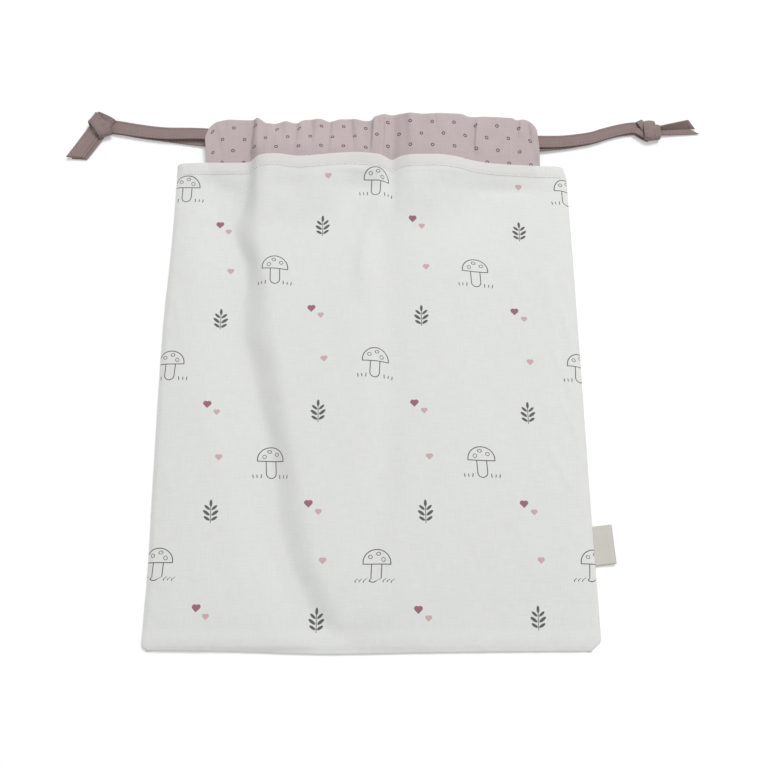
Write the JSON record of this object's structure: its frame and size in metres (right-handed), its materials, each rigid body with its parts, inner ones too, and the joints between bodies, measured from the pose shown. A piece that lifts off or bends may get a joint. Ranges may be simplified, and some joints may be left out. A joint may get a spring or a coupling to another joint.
{
  "type": "drawstring pouch",
  "caption": "Flat kinchaku drawstring pouch: a cotton bag with a dotted casing along its mouth and a flat tape drawstring, knotted, at either side.",
  "frame": {"origin": "centre of the back panel's underside, on the ground that the pouch lies on", "axes": "+X across the pouch towards the side with the label, +Y towards the mouth, +Z out of the front panel"},
  "size_m": [0.4024, 0.3325, 0.0158],
  "materials": {
    "white_cotton": "plain-woven cotton, matt, printed with a sparse motif",
    "pink_cotton": "plain-woven cotton, matt, with small ring dots",
    "mauve_tape": "folded and edge-stitched cotton tape, matt",
    "beige_label": "woven ribbon, faint sheen, blank"
  },
  "bodies": {
    "root": {"front_panel": "white_cotton", "back_panel": "white_cotton", "front_casing": "pink_cotton", "back_casing": "pink_cotton", "left_drawstring": "mauve_tape", "left_knot": "mauve_tape", "left_tail_lower": "mauve_tape", "left_tail_upper": "mauve_tape", "right_drawstring": "mauve_tape", "right_knot": "mauve_tape", "right_tail_lower": "mauve_tape", "right_tail_upper": "mauve_tape", "side_label": "beige_label"}
  },
  "joints": []
}
